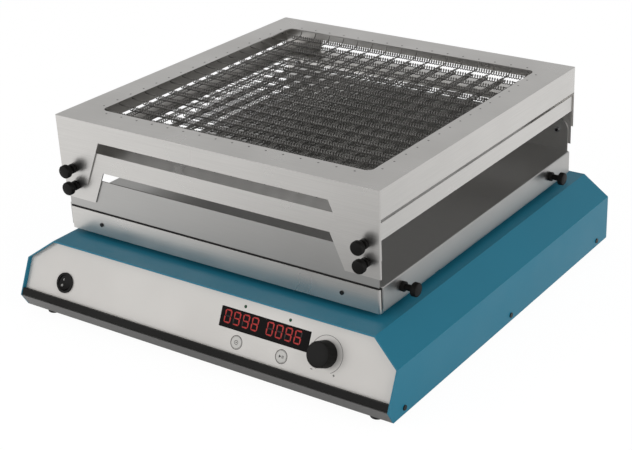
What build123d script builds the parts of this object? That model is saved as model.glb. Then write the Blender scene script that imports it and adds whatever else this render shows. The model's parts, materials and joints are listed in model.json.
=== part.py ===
"""Orbital shaker with a two-level spring platform.

Millimetres, +Z up. The origin is on the ground under the middle of the base.
The front of the shaker faces -Y.
"""
import os
from math import atan2, cos, hypot, radians, sin, tan

from build123d import *

# Base housing
base_w = 510.0
base_d = 513.0
foot_h = 8.0
foot_r = 8.0
foot_top_r = 9.5
foot_inset_x = 28.6
foot_inset_y = 23.7
foot_head_r = 4.0
foot_screw_l = 10.0
side_h = 56.5
cover_h = 80.5
chamfer_w = 33.6
bend_r = 3.0
cover_t = 1.5
pan_t = 1.5
lip_h = 15.7
lip_back = 9.1
lean_run = 30.0
screw_z = 7.5
screw_inset_y = 30.0

# Control panel, in width and height along the leaning panel
panel_recess = 5.0
panel_t = 1.5
strip_low = 1.0
strip_high = 9.0
switch_at = (-195.9, 27.9)
switch_r = 11.75
switch_barrel_r = 9.9
switch_well_r = 9.2
switch_depth = 14.0
rocker_tilt = 10.0
window_at = (85.9, 45.1)
window_w = 117.2
window_h = 22.3
led_at = [(57.1, 61.7), (116.0, 61.5)]
led_r = 1.8
key_at = [(54.6, 21.9), (113.9, 21.9)]
key_r = 6.4
key_travel = 0.8
knob_at = (167.6, 38.3)
knob_r = 14.6
knob_front_r = 13.9
knob_h = 16.0
encoder_shaft_r = 3.0
board_gap = 9.0
board_t = 1.6
board_edge = 10.0
display_w = 50.0
display_pitch = 54.0
key_switch_w = 6.0
key_switch_h = 3.0

# Drive
orbit_r = 10.0
orbit_angle = 135.0
drive_y = 15.0
idler_circle_r = 165.0
shaft_r = 7.45
pin_r = 5.95
shoulder_r = 8.0
crank_disc_r = 21.0
housing_h = 40.5
housing_r = 23.0
housing_bore_r = 14.0
housing_flange_r = 35.0
housing_flange_t = 5.0
base_bearing_r = 17.5
base_bearing_w = 11.0
hub_bearing_r = 14.0
hub_bearing_w = 8.0
pulley_r = 60.0
motor_pulley_r = 15.0
pulley_w = 12.0
rim_w = 2.0
rim_h = 3.0
belt_t = 2.0
motor_reach = 120.0
motor_angle = 30.0
motor_r = 34.0
motor_h = 34.0
motor_shaft_r = 4.0
counterweight_r = 55.0
counterweight_t = 10.0
hub_flange_r = 26.0
hub_flange_t = 3.0
hub_cup_r = 18.5
hub_h = 21.5
hub_lip = 1.0
bearing_space = 0.5

# Electronics on the pan, measured from the base's left, rear and front edges
supply_w = 110.0
supply_d = 80.0
supply_h = 40.0
supply_tab = 10.0
supply_left = 95.0
supply_rear = 106.5
drive_board_w = 150.0
drive_board_d = 60.0
drive_board_front = 91.5
standoff_h = 6.0
standoff_r = 3.0
standoff_inset = 5.0
heat_sink_w = 40.0
heat_sink_d = 30.0
capacitor_r = 8.0
capacitor_pitch = 22.0
board_part_h = 18.0

# Clearances
run_gap = 0.05
seat_gap = 0.02
loose_gap = 0.3

# Table and platform
table_w = 428.4
table_d = 432.0
table_t = 2.5
table_top_z = 121.0
table_skirt = 27.4
mat_t = 2.0
sheet_t = 1.5
tray_end_inset = 1.0
tray_wall_inset = 1.2
tray_front_h = 39.0
tray_rear_h = 43.0
tray_side_gap = 0.8
tray_flange_h = 27.6
tray_flange_inset = 3.0
frame_lap = 0.2
upper_top_z = 233.0
upper_side_h = 31.8
upper_front_h = 22.8
upper_leg_z = 156.3
upper_leg_w = 62.5
lower_top_z = 196.3
lower_side_h = 19.1
lower_front_h = 22.9
lower_leg_z = 133.7
lower_leg_w = 61.7
leg_slope = 23.5
top_rim_x = 35.5
top_rim_y = 38.0
opening_corner_r = 8.0

# Springs
spring_count = 16
spring_pitch = 22.5
spring_r = 3.0
spring_drop = 7.2
coil_inset = 12.5
upper_hook_reach = 7.0
lower_hook_reach = 12.5
hook_r = 0.8

# Thumb screws
corner_screw_in = 19.5
upper_screw_z = 171.8
lower_screw_z = 150.4
side_screw_front = 38.0
side_screw_rear = 57.0
side_screw_z = 110.5
screw_r = 2.0
collar_r = 5.6
collar_l = 4.5
neck_r = 3.5
head_r = 7.8
head_l = 6.4
corner_neck_l = 5.0
side_neck_l = 9.5
nut_r = 3.2
nut_l = 3.0

# Screws that hold the table's skirt
skirt_screw_in = 47.2
skirt_screw_drop = 14.3
skirt_head_r = 2.4
skirt_shank_r = 1.5

os.makedirs("parts", exist_ok=True)

# Places worked out from the sizes above
front_y = -base_d / 2
rear_y = base_d / 2
floor_z = foot_h + pan_t
lean = atan2(lean_run, cover_h - lip_h)
orbit = radians(orbit_angle)
table_x = orbit_r * cos(orbit)
table_y = drive_y + orbit_r * sin(orbit)
motor_x = motor_reach * cos(radians(motor_angle))
motor_y = drive_y + motor_reach * sin(radians(motor_angle))
idler_axes = [
    (idler_circle_r * cos(radians(a)), drive_y + idler_circle_r * sin(radians(a)))
    for a in (90, 210, 330)
]
crank_axes = [(0, drive_y)] + idler_axes
pin_axes = [(x + table_x, y + table_y - drive_y) for x, y in crank_axes]
housing_top = floor_z + housing_h
pulley_z = housing_top + 2
weight_z = pulley_z + pulley_w + 1.5
disc_z = weight_z + counterweight_t + 0.5
disc_t = 7.0
hub_top_z = table_top_z - table_t
hub_low_z = hub_top_z - hub_h
shoulder_z = hub_low_z + hub_lip - loose_gap
pin_top_z = hub_top_z - 4.5

# The tray fits over the table, the lower frame over the tray and the upper over the lower
tray_d = table_d - 2 * tray_end_inset
tray_wall_w = table_w - 2 * tray_wall_inset
tray_flange_l = table_d - 2 * tray_flange_inset
tray_floor_w = table_w + 2 * (tray_side_gap + sheet_t)
lower_w = tray_floor_w + 2 * frame_lap
lower_d = tray_d + 2 * (sheet_t + frame_lap)
upper_w = lower_w + 2 * (sheet_t + loose_gap)
upper_d = lower_d + 2 * (sheet_t + loose_gap)
opening_w = upper_w - 2 * top_rim_x
opening_d = upper_d - 2 * top_rim_y
corner_screw_x = upper_w / 2 - corner_screw_in
side_screw_y = [side_screw_front - table_d / 2, table_d / 2 - side_screw_rear]
skirt_screw_x = table_w / 2 - skirt_screw_in

rear_plane = Plane(origin=(0, rear_y, foot_h), x_dir=(1, 0, 0), z_dir=(0, -1, 0))
side_plane = Plane(origin=(0, front_y, foot_h), x_dir=(0, 1, 0), z_dir=(1, 0, 0))


def leaning_plane(depth=0.0, across=0.0, up=0.0, extra=0.0):
    """Plane along the leaning front: across and up lie in it, depth goes into the housing."""
    y = front_y + depth * cos(lean) + up * sin(lean)
    z = foot_h + lip_h - depth * sin(lean) + up * cos(lean)
    tilt = lean + radians(extra)
    return Plane(origin=(across, y, z), x_dir=(1, 0, 0), z_dir=(0, -cos(tilt), sin(tilt)))


panel_plane = leaning_plane(panel_recess)


def cover_section(inset, low):
    """Corners of the housing's cross-section, moved inwards by inset, down to height low."""
    rise = cover_h - side_h
    slant = hypot(rise, chamfer_w)
    side_x = base_w / 2 - inset
    side_top = side_h - inset * (slant - rise) / chamfer_w
    top_x = base_w / 2 - chamfer_w - inset * (slant - chamfer_w) / rise
    top = cover_h - inset
    right = [(side_x, low), (side_x, side_top), (top_x, top)]
    return right + [(-x, z) for x, z in reversed(right)]


# The front of the housing in side view: a lip that runs back below, and a leaning panel
side_outline = [(lip_back, 0), (0, lip_h), (lean_run, cover_h), (base_d, cover_h), (base_d, 0)]
side_screw_ys = [front_y + screw_inset_y, 0, rear_y - screw_inset_y]

# Pan: folded tray with a low wall all round, its front wall leaning out as the lip
with BuildPart() as base_pan:
    with BuildSketch(side_plane):
        Polygon((lip_back, 0), (0, lip_h), (base_d, lip_h), (base_d, 0), align=None)
    extrude(amount=base_w / 2 - cover_t, both=True)
    offset(amount=-pan_t, openings=base_pan.faces().sort_by(Axis.Z)[-1])
    with BuildSketch(Plane.XY.offset(foot_h)):
        with GridLocations(base_w - 2 * foot_inset_x, base_d - 2 * foot_inset_y, 2, 2):
            Circle(screw_r + seat_gap)
    extrude(amount=pan_t, mode=Mode.SUBTRACT)
    with BuildSketch(Plane.YZ.offset(-base_w / 2)):
        with Locations(*[(y, foot_h + screw_z) for y in side_screw_ys]):
            Circle(screw_r + seat_gap)
    extrude(amount=base_w, mode=Mode.SUBTRACT)
base_pan.part.label = "base_pan"

# Cover: one folded sheet, open at the front, back and bottom
with BuildPart() as housing_cover:
    with BuildSketch(rear_plane) as section:
        Polygon(*cover_section(0, -10), align=None)
        fillet(section.vertices().filter_by(lambda v: v.Z > foot_h), bend_r)
        offset(amount=-cover_t, kind=Kind.INTERSECTION, mode=Mode.SUBTRACT)
    extrude(amount=base_d)
    with BuildSketch(side_plane):
        Polygon(*side_outline, align=None)
    extrude(amount=base_w, both=True, mode=Mode.INTERSECT)
    with BuildSketch(Plane.XY.offset(foot_h + cover_h)):
        with Locations(*crank_axes):
            Circle(orbit_r + shoulder_r + 4)
    extrude(amount=-2 * cover_t, mode=Mode.SUBTRACT)
    with BuildSketch(Plane.YZ.offset(-base_w / 2)):
        with Locations(*[(y, foot_h + screw_z) for y in side_screw_ys]):
            Circle(screw_r + seat_gap)
    extrude(amount=base_w, mode=Mode.SUBTRACT)
housing_cover.part.label = "housing_cover"

# Front panel: leaning sheet inside the cover, cut for its controls
with BuildPart() as front_panel:
    with BuildSketch(panel_plane):
        with Locations((0, strip_low)):
            Rectangle(base_w, 2 * cover_h, align=(Align.CENTER, Align.MIN))
    extrude(amount=-panel_t)
    with BuildSketch(rear_plane):
        Polygon(*cover_section(cover_t, 0), align=None)
    extrude(amount=base_d, mode=Mode.INTERSECT)
    add(base_pan.part, mode=Mode.SUBTRACT)
    with BuildSketch(panel_plane):
        with Locations(switch_at):
            Circle(switch_barrel_r + seat_gap)
        with Locations(window_at):
            Rectangle(window_w, window_h)
        with Locations(*led_at):
            Circle(led_r + seat_gap)
        with Locations(*key_at):
            Circle(key_r + loose_gap)
        with Locations(knob_at):
            Circle(encoder_shaft_r + 1.5)
    extrude(amount=-2 * panel_t, mode=Mode.SUBTRACT)
front_panel.part.label = "front_panel"

# Trim strip along the panel's foot
with BuildPart() as front_trim_strip:
    with BuildSketch(leaning_plane()):
        with Locations((0, strip_low)):
            Rectangle(base_w - 2 * cover_t, strip_high - strip_low, align=(Align.CENTER, Align.MIN))
    extrude(amount=-panel_recess)
    add(base_pan.part, mode=Mode.SUBTRACT)
front_trim_strip.part.label = "front_trim_strip"

# Rear panel with a cut-out for the power inlet
inlet_at = (-180.0, 34.0)
inlet_w = 27.0
inlet_h = 20.0
with BuildPart() as rear_panel:
    with BuildSketch(rear_plane.offset(pan_t)):
        Polygon(*cover_section(cover_t, pan_t), align=None)
        with Locations(inlet_at):
            Rectangle(inlet_w, inlet_h, mode=Mode.SUBTRACT)
    extrude(amount=pan_t)
    add(base_pan.part, mode=Mode.SUBTRACT)
rear_panel.part.label = "rear_panel"

# Power inlet: flange, body, socket and three blades
with BuildPart() as power_inlet:
    with BuildSketch(rear_plane):
        with Locations(inlet_at):
            RectangleRounded(inlet_w + 4, inlet_h + 4, 2)
    extrude(amount=pan_t)
    with BuildSketch(rear_plane.offset(pan_t)):
        with Locations(inlet_at):
            Rectangle(inlet_w, inlet_h)
    extrude(amount=20)
    with BuildSketch(rear_plane) as socket:
        with Locations(inlet_at):
            Rectangle(inlet_w - 3, inlet_h - 4)
        chamfer(socket.vertices().group_by(Axis.Z)[-1], 4)
    extrude(amount=17, mode=Mode.SUBTRACT)
    with BuildSketch(rear_plane.offset(17)):
        with Locations(inlet_at):
            with Locations((-7, -2), (7, -2), (0, 3)):
                Rectangle(2, 4)
    extrude(amount=-11.5)
power_inlet.part.label = "power_inlet"

# Round rocker switch: snap-in housing with a well
with BuildPart() as switch_housing:
    with BuildSketch(panel_plane):
        with Locations(switch_at):
            Circle(switch_r)
    extrude(amount=1.8)
    with BuildSketch(panel_plane):
        with Locations(switch_at):
            Circle(switch_barrel_r)
    extrude(amount=-switch_depth)
    with BuildSketch(panel_plane.offset(1.8)):
        with Locations(switch_at):
            Circle(switch_well_r)
    extrude(amount=-switch_depth, mode=Mode.SUBTRACT)
    with BuildSketch(Plane.YZ.offset(switch_at[0])):
        with Locations((leaning_plane(panel_recess + 1, 0, switch_at[1]).origin.Y,
                        leaning_plane(panel_recess + 1, 0, switch_at[1]).origin.Z)):
            Circle(1.3)
    extrude(amount=switch_barrel_r, both=True, mode=Mode.SUBTRACT)
switch_housing.part.label = "switch_housing"

# Rocker: ball-sided paddle with a hollow top and two trunnions, upper half pressed in
rocker_plane = leaning_plane(panel_recess + 1, switch_at[0], switch_at[1], rocker_tilt)
rocker_side = Plane(origin=rocker_plane.origin, x_dir=rocker_plane.y_dir, z_dir=(1, 0, 0))
with BuildPart() as power_rocker:
    with BuildSketch(rocker_side):
        with BuildLine():
            ThreePointArc((9, 3.4), (0, 1.8), (-9, 3.4))
            Polyline((-9, 3.4), (-9, -1), (-3, -4.5), (3, -4.5), (9, -1), (9, 3.4))
        make_face()
    extrude(amount=9, both=True)
    with Locations(rocker_plane):
        Sphere(switch_well_r - loose_gap, mode=Mode.INTERSECT)
    with BuildSketch(rocker_side):
        Circle(1.2)
    extrude(amount=switch_barrel_r - loose_gap, both=True)
power_rocker.part.label = "power_rocker"

# Display window: clear front with a wider flange behind the panel
with BuildPart() as display_window:
    with BuildSketch(panel_plane):
        with Locations(window_at):
            Rectangle(window_w - 0.1, window_h - 0.1)
    extrude(amount=-panel_t)
    with BuildSketch(panel_plane.offset(-panel_t)):
        with Locations(window_at):
            Rectangle(window_w + 3, window_h + 3)
    extrude(amount=-1)
display_window.part.label = "display_window"

# Board behind the window: two display modules and two key switches on it
board_face = panel_plane.offset(-panel_t - board_gap)
board_mid = (window_at[0], (key_at[0][1] + led_at[0][1]) / 2)
with BuildPart() as display_board:
    with BuildSketch(board_face):
        with Locations(board_mid):
            Rectangle(window_w + 2 * board_edge, led_at[0][1] - key_at[0][1] + 1.4 * board_edge)
    extrude(amount=-board_t)
    with BuildSketch(board_face):
        with Locations(window_at):
            with GridLocations(display_pitch, 0, 2, 1):
                Rectangle(display_w, window_h - 3)
    extrude(amount=board_gap - 1)
    with BuildSketch(board_face):
        with Locations(*key_at):
            Rectangle(key_switch_w, key_switch_w)
    extrude(amount=key_switch_h)
display_board.part.label = "display_board"

# Status lamps: domed pins through the panel to the board
with BuildPart() as status_leds:
    with BuildSketch(board_face):
        with Locations(*led_at):
            Circle(led_r)
    extrude(amount=board_gap + panel_t + 0.8)
    fillet(status_leds.faces().group_by(Axis(board_face.origin, board_face.z_dir))[-1].edges(), 1)
status_leds.part.label = "status_leds"


def push_key(at):
    """Round key: cap in its hole, retaining flange behind the panel and a stem to its switch."""
    with BuildPart() as key:
        with BuildSketch(panel_plane.offset(0.4)):
            with Locations(at):
                Circle(key_r)
        extrude(amount=-panel_t - 1.4)
        with BuildSketch(panel_plane.offset(-panel_t - 0.1)):
            with Locations(at):
                Circle(key_r + 1.6)
        extrude(amount=-1)
        with BuildSketch(panel_plane.offset(-panel_t - 1)):
            with Locations(at):
                Circle(2)
        extrude(amount=-(board_gap - 1 - key_switch_h - key_travel - loose_gap))
    return key.part


left_key = push_key(key_at[0])
right_key = push_key(key_at[1])
left_key.label = "left_key"
right_key.label = "right_key"

# Speed knob, its shaft and the encoder behind the panel
with BuildPart() as encoder_body:
    with BuildSketch(panel_plane.offset(-panel_t)):
        with Locations(knob_at):
            Rectangle(14, 14)
    extrude(amount=-7)
    with BuildSketch(panel_plane.offset(-panel_t)):
        with Locations(knob_at):
            Circle(encoder_shaft_r + 1.45)
    extrude(amount=panel_t + 0.5)
    with BuildSketch(panel_plane.offset(0.5)):
        with Locations(knob_at):
            Circle(encoder_shaft_r + run_gap)
    extrude(amount=-panel_t - 6, mode=Mode.SUBTRACT)
encoder_body.part.label = "encoder_body"

with BuildPart() as encoder_shaft:
    with BuildSketch(panel_plane.offset(-panel_t - 5)):
        with Locations(knob_at):
            Circle(encoder_shaft_r)
    extrude(amount=panel_t + 5 + knob_h - 2)
encoder_shaft.part.label = "encoder_shaft"

with BuildPart() as speed_knob:
    with BuildSketch(panel_plane.offset(0.8)):
        with Locations(knob_at):
            Circle(knob_r)
    with BuildSketch(panel_plane.offset(knob_h)):
        with Locations(knob_at):
            Circle(knob_front_r)
    loft()
    fillet(speed_knob.edges().group_by(Axis(panel_plane.origin, panel_plane.z_dir))[-1], 0.8)
    with BuildSketch(panel_plane.offset(0.8)):
        with Locations(knob_at):
            Circle(encoder_shaft_r + seat_gap)
    extrude(amount=knob_h - 2.8, mode=Mode.SUBTRACT)
speed_knob.part.label = "speed_knob"

# Feet: tapered rubber buffers with a sunk screw each
foot_grid = GridLocations(base_w - 2 * foot_inset_x, base_d - 2 * foot_inset_y, 2, 2)
with BuildPart() as rubber_feet:
    with foot_grid:
        Cone(foot_r, foot_top_r, foot_h, align=(Align.CENTER, Align.CENTER, Align.MIN))
    with BuildSketch():
        with foot_grid:
            Circle(screw_r + seat_gap)
    extrude(amount=foot_h, mode=Mode.SUBTRACT)
    with BuildSketch():
        with foot_grid:
            Circle(foot_head_r + 0.5)
    extrude(amount=foot_h - 3, mode=Mode.SUBTRACT)
rubber_feet.part.label = "rubber_feet"

with BuildPart() as foot_screws:
    with BuildSketch(Plane.XY.offset(foot_h - 5.5)):
        with foot_grid:
            Circle(foot_head_r)
    extrude(amount=2.5)
    with BuildSketch(Plane.XY.offset(foot_h - 3)):
        with foot_grid:
            Circle(screw_r)
    extrude(amount=foot_screw_l)
foot_screws.part.label = "foot_screws"

# Cover screws: low heads outside, shanks through cover and pan
with BuildPart() as cover_screws:
    for side in (1, -1):
        with BuildSketch(Plane(origin=(side * base_w / 2, 0, 0), x_dir=(0, 1, 0), z_dir=(side, 0, 0))):
            with Locations(*[(y, side * (foot_h + screw_z)) for y in side_screw_ys]):
                Circle(3)
        extrude(amount=1.2)
        with BuildSketch(Plane(origin=(side * base_w / 2, 0, 0), x_dir=(0, 1, 0), z_dir=(side, 0, 0))):
            with Locations(*[(y, side * (foot_h + screw_z)) for y in side_screw_ys]):
                Circle(screw_r)
        extrude(amount=-6)
cover_screws.part.label = "cover_screws"

# Bearing housings: turned, flanged, a bearing seat at each end
bearing_low_z = floor_z + 3.5
bearing_high_z = housing_top - base_bearing_w - 1
with BuildPart() as bearing_housings:
    with BuildSketch(Plane.XZ) as housing_half:
        Polygon(
            (base_bearing_r + seat_gap, floor_z),
            (housing_flange_r, floor_z),
            (housing_flange_r, floor_z + housing_flange_t),
            (housing_r, floor_z + housing_flange_t + 2),
            (housing_r, housing_top),
            (base_bearing_r + seat_gap, housing_top),
            (base_bearing_r + seat_gap, bearing_high_z),
            (housing_bore_r, bearing_high_z),
            (housing_bore_r, bearing_low_z + base_bearing_w),
            (base_bearing_r + seat_gap, bearing_low_z + base_bearing_w),
            align=None,
        )
    turned = revolve(axis=Axis.Z, mode=Mode.PRIVATE)
    with Locations(*[(x, y, 0) for x, y in crank_axes]):
        add(turned)
bearing_housings.part.label = "bearing_housings"


def bearing_half(bore_r, outer_r, width):
    """Half section of a sealed ball bearing: two rings with a shallow seal groove between."""
    inner = bore_r + 0.3 * (outer_r - bore_r)
    outer = bore_r + 0.7 * (outer_r - bore_r)
    return [
        (bore_r, 0), (inner, 0), (inner, 0.6), (outer, 0.6), (outer, 0), (outer_r, 0),
        (outer_r, width), (outer, width), (outer, width - 0.6), (inner, width - 0.6),
        (inner, width), (bore_r, width),
    ]


with BuildPart() as shaft_bearings:
    with BuildSketch(Plane.XZ):
        Polygon(*bearing_half(shaft_r + run_gap, base_bearing_r, base_bearing_w), align=None)
    ring = revolve(axis=Axis.Z, mode=Mode.PRIVATE)
    with Locations(*[(x, y, z) for x, y in crank_axes for z in (bearing_low_z, bearing_high_z)]):
        add(ring)
shaft_bearings.part.label = "shaft_bearings"


def crank(x, y):
    """Eccentric crank: shaft, disc, shoulder and offset pin in one turned piece."""
    px, py = x + table_x, y + table_y - drive_y
    with BuildPart() as piece:
        for cx, cy, low, high, radius in (
            (x, y, floor_z + 1.5, disc_z, shaft_r),
            (x, y, disc_z, disc_z + disc_t, crank_disc_r),
            (px, py, disc_z + disc_t, shoulder_z, shoulder_r),
            (px, py, shoulder_z, pin_top_z, pin_r),
        ):
            with BuildSketch(Plane.XY.offset(low)):
                with Locations((cx, cy)):
                    Circle(radius)
            extrude(amount=high - low)
    return piece.part


main_crankshaft = crank(0, drive_y)
main_crankshaft.label = "main_crankshaft"
idler_cranks = [crank(x, y) for x, y in idler_axes]


def pulley_half(bore_r, seat_r):
    """Half section of a flanged flat-belt pulley, from its lower face up."""
    return [
        (bore_r, 0), (seat_r + rim_h, 0), (seat_r + rim_h, rim_w), (seat_r, rim_w),
        (seat_r, pulley_w - rim_w), (seat_r + rim_h, pulley_w - rim_w),
        (seat_r + rim_h, pulley_w), (bore_r, pulley_w),
    ]


with BuildPart() as main_pulley:
    with BuildSketch(Plane.XZ.offset(-drive_y)):
        Polygon(*[(r, pulley_z + z) for r, z in pulley_half(shaft_r + seat_gap, pulley_r)], align=None)
    revolve(axis=Axis((0, drive_y, 0), (0, 0, 1)))
    with BuildSketch(Plane.XY.offset(pulley_z)):
        with Locations((0, drive_y)):
            with PolarLocations(0.6 * pulley_r, 5):
                Circle(0.22 * pulley_r)
    extrude(amount=pulley_w, mode=Mode.SUBTRACT)
main_pulley.part.label = "main_pulley"

# Counterweight: a heavy sector opposite the pin, clamped on the shaft by its hub
with BuildPart() as counterweight:
    with BuildSketch(Plane.XY.offset(weight_z)) as weight:
        with Locations((0, drive_y)):
            Circle(counterweight_r)
            with Locations(Rotation(0, 0, orbit_angle)):
                with Locations((2 * counterweight_r, 0)):
                    Rectangle(4 * counterweight_r, 4 * counterweight_r, mode=Mode.SUBTRACT)
            Circle(2 * shaft_r)
            Circle(shaft_r + seat_gap, mode=Mode.SUBTRACT)
    extrude(amount=counterweight_t)
counterweight.part.label = "counterweight"

# Motor under a bridge bracket, with its shaft and pulley
motor_top = pulley_z - 4
with BuildPart() as drive_motor:
    with BuildSketch(Plane.XY.offset(motor_top - motor_h)):
        with Locations((motor_x, motor_y)):
            Circle(motor_r)
    extrude(amount=motor_h)
    fillet(drive_motor.edges().group_by(Axis.Z)[0], 3)
    with BuildSketch(Plane.XY.offset(motor_top)):
        with Locations((motor_x, motor_y)):
            Circle(2 * motor_shaft_r)
    extrude(amount=2.5)
    with BuildSketch(Plane.XY.offset(motor_top + 2.5)):
        with Locations((motor_x, motor_y)):
            Circle(motor_shaft_r + run_gap)
    extrude(amount=-20, mode=Mode.SUBTRACT)
drive_motor.part.label = "drive_motor"

bracket_w = 2 * motor_r + 12
with BuildPart() as motor_bracket:
    with BuildSketch(Plane.XZ.offset(-motor_y)):
        with Locations((motor_x, 0)):
            Polygon(
                (-bracket_w / 2 - 14, floor_z), (-bracket_w / 2, floor_z),
                (-bracket_w / 2, motor_top), (bracket_w / 2, motor_top),
                (bracket_w / 2, floor_z), (bracket_w / 2 + 14, floor_z),
                (bracket_w / 2 + 14, floor_z + 2), (bracket_w / 2 + 2, floor_z + 2),
                (bracket_w / 2 + 2, motor_top + 2), (-bracket_w / 2 - 2, motor_top + 2),
                (-bracket_w / 2 - 2, floor_z + 2), (-bracket_w / 2 - 14, floor_z + 2),
                align=None,
            )
    extrude(amount=motor_r, both=True)
    with BuildSketch(Plane.XY.offset(motor_top)):
        with Locations((motor_x, motor_y)):
            Circle(2 * motor_shaft_r + 0.5)
    extrude(amount=2, mode=Mode.SUBTRACT)
motor_bracket.part.label = "motor_bracket"

with BuildPart() as motor_shaft:
    with BuildSketch(Plane.XY.offset(motor_top + 2.5 - 19)):
        with Locations((motor_x, motor_y)):
            Circle(motor_shaft_r)
    extrude(amount=19 + 1.5 + pulley_w + 2)
motor_shaft.part.label = "motor_shaft"

with BuildPart() as motor_pulley:
    with BuildSketch(Plane.XZ.offset(-motor_y)):
        with Locations((motor_x, 0)):
            Polygon(
                *[(r, pulley_z + z) for r, z in pulley_half(motor_shaft_r + seat_gap, motor_pulley_r)],
                align=None,
            )
    revolve(axis=Axis((motor_x, motor_y, 0), (0, 0, 1)))
motor_pulley.part.label = "motor_pulley"

with BuildPart() as drive_belt:
    with BuildSketch(Plane.XY.offset(pulley_z + rim_w + 1)) as loop:
        with Locations((0, drive_y)):
            Circle(pulley_r + loose_gap + belt_t)
        with Locations((motor_x, motor_y)):
            Circle(motor_pulley_r + loose_gap + belt_t)
        make_hull()
        offset(amount=-belt_t, mode=Mode.SUBTRACT)
    extrude(amount=pulley_w - 2 * rim_w - 2)
drive_belt.part.label = "drive_belt"

# Power supply: finned block on a plate with a tab at each side
supply_at = (supply_left - base_w / 2, rear_y - supply_rear)
with BuildPart() as power_supply:
    with BuildSketch(Plane.XY.offset(floor_z)):
        with Locations(supply_at):
            Rectangle(supply_w + 2 * supply_tab, supply_d)
    extrude(amount=2)
    with BuildSketch(Plane.XY.offset(floor_z + 2)):
        with Locations(supply_at):
            Rectangle(supply_w, supply_d)
    extrude(amount=supply_h - 2)
    with BuildSketch(Plane.XY.offset(floor_z + supply_h)):
        with Locations(supply_at):
            with GridLocations(supply_w / 9, 0, 7, 1):
                SlotCenterToCenter(0.62 * supply_d, 4, rotation=90)
    extrude(amount=-1.5, mode=Mode.SUBTRACT)
power_supply.part.label = "power_supply"

# Drive board on four standoffs, with a heat sink and four capacitors
drive_board_at = (0, front_y + drive_board_front)
board_z = floor_z + standoff_h
with BuildPart() as control_board:
    with BuildSketch(Plane.XY.offset(floor_z)):
        with Locations(drive_board_at):
            with GridLocations(
                drive_board_w - 2 * standoff_inset, drive_board_d - 2 * standoff_inset, 2, 2
            ):
                Circle(standoff_r)
    extrude(amount=standoff_h)
    with BuildSketch(Plane.XY.offset(board_z)):
        with Locations(drive_board_at):
            Rectangle(drive_board_w, drive_board_d)
    extrude(amount=board_t)
    with BuildSketch(Plane.XY.offset(board_z + board_t)):
        with Locations(drive_board_at):
            with Locations((-0.27 * drive_board_w, 0)):
                Rectangle(heat_sink_w, heat_sink_d)
            with Locations((0.13 * drive_board_w, 0)):
                with GridLocations(capacitor_pitch, capacitor_pitch, 2, 2):
                    Circle(capacitor_r)
    extrude(amount=board_part_h)
control_board.part.label = "control_board"

# Table: folded tray, open side down
table_mid = (table_x, table_y)
skirt_screw_z = table_top_z - skirt_screw_drop
with BuildPart() as table_plate:
    with BuildSketch(Plane.XY.offset(table_top_z)):
        with Locations(table_mid):
            Rectangle(table_w, table_d)
    extrude(amount=-table_skirt)
    fillet(table_plate.edges().filter_by(Axis.Z), bend_r)
    offset(amount=-table_t, openings=table_plate.faces().sort_by(Axis.Z)[0])
    with BuildSketch(Plane.XZ.offset(-table_y - table_d / 2)):
        with Locations((table_x - skirt_screw_x, skirt_screw_z), (table_x + skirt_screw_x, skirt_screw_z)):
            Circle(skirt_shank_r + seat_gap)
    extrude(amount=table_d, mode=Mode.SUBTRACT)
    with BuildSketch(Plane.YZ.offset(table_x - table_w / 2)):
        with Locations(*[(table_y + y, side_screw_z) for y in side_screw_y]):
            Circle(screw_r + loose_gap)
    extrude(amount=table_w, mode=Mode.SUBTRACT)
table_plate.part.label = "table_plate"

with BuildPart() as skirt_screws:
    for side in (1, -1):
        face = Plane(
            origin=(table_x, table_y + side * table_d / 2, skirt_screw_z),
            x_dir=(-side, 0, 0),
            z_dir=(0, side, 0),
        )
        with BuildSketch(face):
            with Locations((-skirt_screw_x, 0), (skirt_screw_x, 0)):
                Circle(skirt_head_r)
        extrude(amount=1)
        with BuildSketch(face):
            with Locations((-skirt_screw_x, 0), (skirt_screw_x, 0)):
                Circle(skirt_shank_r)
        extrude(amount=-6)
skirt_screws.part.label = "skirt_screws"

# Hubs under the table: a flange and a cup that holds two bearings
with BuildPart() as table_hubs:
    with BuildSketch(Plane.XZ):
        Polygon(
            (0, hub_top_z), (hub_flange_r, hub_top_z), (hub_flange_r, hub_top_z - hub_flange_t),
            (hub_cup_r, hub_top_z - hub_flange_t), (hub_cup_r, hub_low_z),
            (hub_bearing_r + seat_gap, hub_low_z), (hub_bearing_r + seat_gap, hub_top_z - 3.5),
            (0, hub_top_z - 3.5),
            align=None,
        )
    cup = revolve(axis=Axis.Z, mode=Mode.PRIVATE)
    with Locations(*[(x, y, 0) for x, y in pin_axes]):
        add(cup)
table_hubs.part.label = "table_hubs"

with BuildPart() as hub_bearings:
    with BuildSketch(Plane.XZ):
        Polygon(*bearing_half(pin_r + run_gap, hub_bearing_r, hub_bearing_w), align=None)
    ring = revolve(axis=Axis.Z, mode=Mode.PRIVATE)
    with Locations(*[
        (x, y, z)
        for x, y in pin_axes
        for z in (hub_low_z + hub_lip, hub_low_z + hub_lip + hub_bearing_w + bearing_space)
    ]):
        add(ring)
hub_bearings.part.label = "hub_bearings"

with BuildPart() as grip_mat:
    with BuildSketch(Plane.XY.offset(table_top_z)):
        with Locations(table_mid):
            RectangleRounded(table_w - 1, table_d - 1, bend_r)
    extrude(amount=mat_t)
grip_mat.part.label = "grip_mat"

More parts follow.
